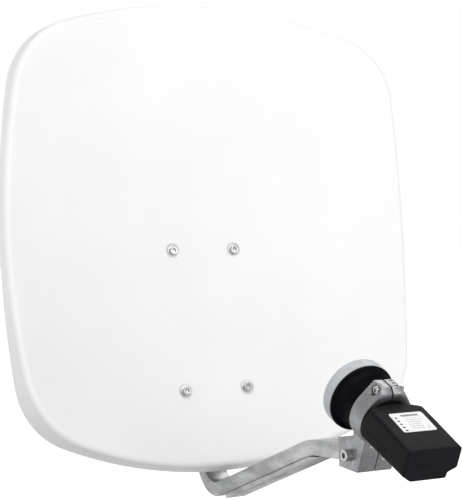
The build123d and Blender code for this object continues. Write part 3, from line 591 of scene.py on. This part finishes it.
# ---- feed housing ----
def housing_loop():
    """Box section seen along the feed, anticlockwise from the right seam, with points along its flats."""
    top = (BODY_TOP_REAR + BODY_TOP_END) / 2
    corners = [
        (BODY_HALF_W, SEAM, 0), (BODY_HALF_W, top, 2.6), (-BODY_HALF_W, top, 2.6), (-BODY_HALF_W, SEAM, 0),
        (-BODY_HALF_W, -8, 4.0), (-17, BODY_BOTTOM, 4.5), (17.5, BODY_BOTTOM, 2.4), (17.5, -8.7, 1.4),
        (BODY_HALF_W, -4.6, 3.0),
    ]
    loop = [Vector(p) for p in rounded(corners, 7)]
    fine = []
    for here, ahead in zip(loop, loop[1:] + loop[:1]):
        parts = max(1, round((ahead - here).length / 2.0))
        fine += [here.lerp(ahead, k / parts) for k in range(parts)]
    return fine


loop = housing_loop()
left_seam = min(range(len(loop)), key=lambda k: (loop[k] - Vector((-BODY_HALF_W, SEAM))).length)


def loop_normal(k):
    """Outward direction of the section at its point k."""
    run = loop[(k + 1) % len(loop)] - loop[k - 1]
    return Vector((run.y, -run.x)).normalized()


def body_top(along):
    """Height of the housing's sloping top at a place along the feed."""
    share = (along - BODY_FROM) / (BODY_TO - BODY_FROM)
    return BODY_TOP_REAR + (BODY_TOP_END - BODY_TOP_REAR) * share


def rear_arch(along):
    """Half width and half height of the arch that limits the housing's rear end at a place along the feed."""
    for (a0, b0, s0), (a1, b1, s1) in zip(BODY_REAR, BODY_REAR[1:]):
        if along < s1:
            share = (max(along, s0) - s0) / (s1 - s0)
            return a0 + (a1 - a0) * share, b0 + (b1 - b0) * share
    return 60.0, 45.0


def row_at(k, along, inset=0.0, trim=0.0):
    """Point k of the section at a place along the feed, held inside the arch of the rear end."""
    spot = loop[k] - loop_normal(k) * inset
    if spot.y > SEAM:
        middle = (BODY_TOP_REAR + BODY_TOP_END) / 2
        spot.y = SEAM + (spot.y - SEAM) * (body_top(along) - SEAM) / (middle - SEAM)
    half_w, half_h = rear_arch(along - inset * 0.8)
    less = inset * 0.8 + trim
    reach = sqrt((spot.x / (half_w - less)) ** 2 + (spot.y / (half_h - less)) ** 2)
    if along < BODY_REAR[-1][2] and reach > 0.5:
        spot *= min(1.0, 0.5 * (reach + 1 - sqrt((reach - 1) ** 2 + 0.0012)) / reach)
    return Vector((spot.x, spot.y, along))


def collar_point(k, along):
    """Point k of the hole round the neck."""
    spot = loop[k].normalized() * (COLLAR_R + 0.15)
    return Vector((spot.x, spot.y, along))


def shell(name, body, columns, front, rear, drop=0.0, closed_end=False, stands_for=()):
    """Wall of the housing between two places along the feed, over part of its section."""
    outer = []
    inner = []
    begins = front <= BODY_FROM
    if begins:
        outer.append([collar_point(k, front) for k in columns])
        outer.append([row_at(k, front, 0, 0.7) for k in columns])
        outer.append([row_at(k, front + 0.12, 0, 0.2) for k in columns])
        inner.append([collar_point(k, front + WALL) for k in columns])
        inner.append([collar_point(k, front + WALL) for k in columns])
        inner.append([row_at(k, front + WALL, WALL) for k in columns])
        stops = [41.6, 42.0, 42.4, 42.8, 43.2, 44, 45, 46.5, 48, 49.5, 51, 52, 53, 54.5, 56, 58, 61, 64]
    else:
        outer.append([row_at(k, front, 0.35) for k in columns])
        inner.append([row_at(k, front, WALL) for k in columns])
        stops = [front + 0.35]
    stops += [s for s in (66, 70, 74, 78, 84, 90, 96, 102) if front < s < rear - 3]
    end_r = 2.4                 # rounded edge of the closed end
    for along in stops:
        outer.append([row_at(k, along) for k in columns])
        deep = max(along, front + WALL + 0.05) if begins else along
        inner.append([row_at(k, deep, WALL) for k in columns])
    if closed_end:
        for step in range(8):
            turn = pi / 2 * step / 7
            along = rear - end_r + end_r * sin(turn)
            outer.append([row_at(k, along, end_r * (1 - cos(turn))) for k in columns])
            along = rear - WALL - end_r + end_r * step / 7
            inner.append([row_at(k, along, WALL + 0.4 * step / 7) for k in columns])
        for scale in (0.94, 0.85, 0.7, 0.45, 0.2, 0):
            for rows, inset, level in ((outer, end_r, rear), (inner, WALL + 0.4, rear - WALL)):
                row = []
                for k in columns:
                    edge = row_at(k, rear, inset)
                    row.append(Vector((edge.x * scale, SEAM + (edge.y - SEAM) * scale, level)))
                rows.append(row)
    else:
        for along, inset in ((rear - 0.35, 0), (rear, 0.35)):
            outer.append([row_at(k, along, inset) for k in columns])
            inner.append([row_at(k, along, WALL) for k in columns])
    rows = outer + inner[::-1]
    cols = len(columns)
    verts = [v - Vector((0, drop, 0)) for row in rows for v in row]
    faces = quads(len(rows), cols, wrap_rows=True, wrap_cols=False)
    for r in range(len(outer) - 1):
        a = r * cols
        b = (r + 1) * cols
        c = (len(rows) - 2 - r) * cols
        d = (len(rows) - 1 - r) * cols
        faces.append((a, b, c, d))
        faces.append((a + cols - 1, b + cols - 1, c + cols - 1, d + cols - 1))
    return piece(name, verts, faces, FEED, body, black, stands_for, 38)


upper_columns = list(range(0, left_seam + 1))
lower_columns = list(range(left_seam, len(loop))) + [0]
shell("lnb_top_housing", "lnb", upper_columns, BODY_FROM, BODY_TO, 0, True, ["lnb_upper_shell"])
shell("lnb_bottom_housing", "lnb", lower_columns, BODY_FROM, COVER_FROM - 0.3, 0.25, False,
      ["lnb_lower_shell"])
cover = shell("sliding_cover", "weather_cover", lower_columns, COVER_FROM + 0.05, BODY_TO, 0.25, True,
              ["weather_cover"])


def cut(obj, low, high, where):
    """Takes a box, given by its lowest and highest corner, out of a piece for good."""
    mesh = bpy.data.meshes.new("cutter")
    spots = [where @ Vector((x, y, z)) * MM for x in (low[0], high[0]) for y in (low[1], high[1])
             for z in (low[2], high[2])]
    sides = [(0, 1, 3, 2), (4, 6, 7, 5), (0, 4, 5, 1), (2, 3, 7, 6), (0, 2, 6, 4), (1, 5, 7, 3)]
    mesh.from_pydata(spots, [], sides)
    cutter = bpy.data.objects.new("cutter", mesh)
    bpy.context.collection.objects.link(cutter)
    tool = obj.modifiers.new("cut", "BOOLEAN")
    tool.operation = "DIFFERENCE"
    tool.solver = "EXACT"
    tool.object = cutter
    bpy.context.view_layer.update()
    result = bpy.data.meshes.new_from_object(obj.evaluated_get(bpy.context.evaluated_depsgraph_get()))
    obj.modifiers.clear()
    obj.data = result
    bpy.data.objects.remove(cutter)


for x in CONNECTORS:
    low = (x - SLOT_HALF_W, BODY_BOTTOM - 6, SLOT_AT - SLOT_HALF_L)
    high = (x + SLOT_HALF_W, BODY_BOTTOM + 6, SLOT_AT + SLOT_HALF_L)
    cut(cover, low, high, FEED)


def make_label():
    """Thin film on the housing's sloping top, with its own UV square."""
    half_w = LABEL_HALF_W
    half_l = LABEL_HALF_L
    corners = [(-half_w, -half_l, 2), (half_w, -half_l, 2), (half_w, half_l, 2), (-half_w, half_l, 2)]
    edge = rounded(corners, 6)
    count = len(edge)
    fall = (BODY_TOP_REAR - BODY_TOP_END) / (BODY_TO - BODY_FROM)
    slope = Matrix.Rotation(atan(fall), 4, "X")
    place = FEED @ Matrix.Translation((LABEL_X, body_top(LABEL_AT), LABEL_AT)) @ slope
    verts = [(x, level, z) for level in (0.03, 0.28) for x, z in edge]
    faces = quads(2, count) + [tuple(range(count)), tuple(range(2 * count - 1, count - 1, -1))]
    label = piece("type_label", verts, faces, place, "lnb", film, ["lnb_label"])
    layer = label.data.uv_layers.new(name="UVMap")
    back = place.inverted()
    for ring in label.data.loops:
        spot = back @ (label.data.vertices[ring.vertex_index].co / MM)
        layer.data[ring.index].uv = (0.5 + spot.x / (2 * half_w), 0.5 - spot.z / (2 * half_l))


make_label()


# ---- CAD nodes that keep their shape: softened edges and a material each ----
def finish_node(name, paint, edge=0.0, angle=30):
    """One material and, where edge isn't zero, edges rounded by that many millimetres."""
    obj = nodes[name]
    obj.data.materials.clear()
    obj.data.materials.append(paint)
    for polygon in obj.data.polygons:
        polygon.use_smooth = True
    weld = obj.modifiers.new("weld", "WELD")
    weld.merge_threshold = 2e-6
    if edge:
        soften = obj.modifiers.new("soften", "BEVEL")
        soften.width = edge * MM
        soften.segments = 3
        soften.limit_method = "ANGLE"
        soften.angle_limit = radians(angle)
        soften.use_clamp_overlap = True
        soften.harden_normals = True


for name, paint, edge in (
    ("rear_carrier", galvanised, 0.5), ("feed_arm", mill, 0.7), ("lnb_clamp_left", cast, 0.45),
    ("lnb_clamp_right", cast, 0.45), ("mast_yoke", cast, 0.8), ("mast_jaw", cast, 0.8),
    ("reflector_screws", stainless, 0.12), ("reflector_washers", stainless, 0.12),
    ("reflector_nuts", bright_zinc, 0.15), ("arm_bolts", bright_zinc, 0.2), ("arm_nuts", bright_zinc, 0.2),
    ("clamp_base_bolt", stainless, 0.2), ("clamp_base_nut", bright_zinc, 0.2),
    ("clamp_top_screw", stainless, 0.15), ("clamp_top_nut", bright_zinc, 0.15),
    ("mast_clamp_bolts", bright_zinc, 0.25), ("mast_clamp_washers", bright_zinc, 0.15),
    ("wing_nuts", bright_zinc, 0.3), ("pivot_bolt", bright_zinc, 0.25), ("pivot_washers", bright_zinc, 0.15),
    ("pivot_nut", bright_zinc, 0.25), ("lock_bolt", bright_zinc, 0.25), ("lock_washers", bright_zinc, 0.15),
    ("lock_nut", bright_zinc, 0.25), ("shell_screws", stainless, 0.1), ("f_connectors", nickel, 0.12),
    ("lnb_chassis", neck_black, 0.2), ("cap_seal", rubber, 0.1), ("lnb_board", board_green, 0.05),
    ("lnb_probes", brass, 0.05),
):
    finish_node(name, paint, edge)


# ---- stage, light and camera ----
def area_light(name, place, target, size, power):
    """Soft rectangular light; place, target and size in metres."""
    data = bpy.data.lights.new(name, "AREA")
    data.shape = "RECTANGLE"
    data.size, data.size_y = size
    data.energy = power
    obj = bpy.data.objects.new(name, data)
    obj.location = place
    obj.rotation_euler = (Vector(target) - Vector(place)).to_track_quat("-Z", "Y").to_euler()
    bpy.context.collection.objects.link(obj)


FLOOR_DROP = 0.3            # metres from the object's lowest point to the floor
FLOOR_HALF = 40


def make_floor():
    """Plain pale floor that glows white further away and less under the object, a painted shadow pool there.
    """
    level = cad_box[0].z - FLOOR_DROP
    corners = [(x * FLOOR_HALF, y * FLOOR_HALF, level) for x, y in ((-1, -1), (1, -1), (1, 1), (-1, 1))]
    mesh = bpy.data.meshes.new("floor")
    mesh.from_pydata(corners, [], [(0, 1, 2, 3)])
    paint, tree, shader = new_paint("floor_white_painted_shadow", (0.42, 0.42, 0.42), 0.9, 0, 0.1)
    coord = tree.nodes.new("ShaderNodeTexCoord")
    reach = tree.nodes.new("ShaderNodeVectorMath")
    reach.operation = "DISTANCE"
    reach.inputs[1].default_value = (-0.1, -0.3, level)
    tree.links.new(coord.outputs["Object"], reach.inputs[0])
    shader.inputs["Emission Color"].default_value = (1, 1, 1, 1)
    # painted shadow: the glow is weakest near the object and rises to white further away
    shadow_pool_glow = spread(tree, reach.outputs["Value"], 0.1, 0.97, 0.4, 1.5)
    tree.links.new(shadow_pool_glow, shader.inputs["Emission Strength"])
    mesh.materials.append(paint)
    obj = bpy.data.objects.new("floor", mesh)
    bpy.context.collection.objects.link(obj)
    return obj


def make_world():
    """Soft light that is stronger from the left and from above the horizon, on a white backdrop."""
    world = bpy.data.worlds.new("studio")
    world.use_nodes = True
    tree = world.node_tree
    coord = tree.nodes.new("ShaderNodeTexCoord")
    split = tree.nodes.new("ShaderNodeSeparateXYZ")
    tree.links.new(coord.outputs["Generated"], split.inputs["Vector"])
    side = tree.nodes.new("ShaderNodeVectorMath")
    side.operation = "DOT_PRODUCT"
    side.inputs[1].default_value = (0.96, -0.28, 0)
    tree.links.new(coord.outputs["Generated"], side.inputs[0])
    softbox = tree.nodes.new("ShaderNodeMath")
    softbox.operation = "MULTIPLY"
    tree.links.new(spread(tree, side.outputs["Value"], 0.66, 0.28, -0.1, 0.9), softbox.inputs[0])
    tree.links.new(spread(tree, split.outputs["Z"], 1.0, 0.85, 0.25, 0.7), softbox.inputs[1])
    path = tree.nodes.new("ShaderNodeLightPath")
    backdrop = tree.nodes.new("ShaderNodeMath")
    backdrop.operation = "MAXIMUM"
    tree.links.new(softbox.outputs[0], backdrop.inputs[0])
    tree.links.new(path.outputs["Is Camera Ray"], backdrop.inputs[1])
    background = tree.nodes["Background"]
    tree.links.new(backdrop.outputs[0], background.inputs["Strength"])
    background.inputs["Color"].default_value = (1, 1, 1, 1)
    return world


make_floor()
bpy.context.scene.world = make_world()
bpy.context.scene.view_settings.view_transform = "Standard"
aim = (0, -0.2, 0.05)
area_light("key", (0.1, -3.2, 1.3), aim, (2.6, 2.2), 45)
area_light("top", (-0.4, -0.2, 2.2), aim, (1.6, 1.6), 6)
area_light("front_right", (1.2, -1.9, 1.0), aim, (0.6, 0.6), 2.5)
area_light("back_right", (1.35, 0.8, 1.6), aim, (1.1, 1.1), 8)

CAMERA_YAW = 27.79          # degrees; the camera stands level with the object, left of its front
CAMERA_ROLL = 1.003
CAMERA_PLACE = (-0.6281, -1.3535, 0.0488)
camera_data = bpy.data.cameras.new("camera")
camera_data.lens = 97.4
camera_data.sensor_width = 36
camera_data.clip_start = 0.05
camera_data.clip_end = 50
camera = bpy.data.objects.new("camera", camera_data)
turn = Matrix.Rotation(-radians(CAMERA_YAW), 4, "Z") @ Matrix.Rotation(radians(90), 4, "X")
turn = turn @ Matrix.Rotation(-radians(CAMERA_ROLL), 4, "Z")
camera.matrix_world = Matrix.Translation(CAMERA_PLACE) @ turn
bpy.context.collection.objects.link(camera)
bpy.context.scene.camera = camera

bpy.context.view_layer.update()
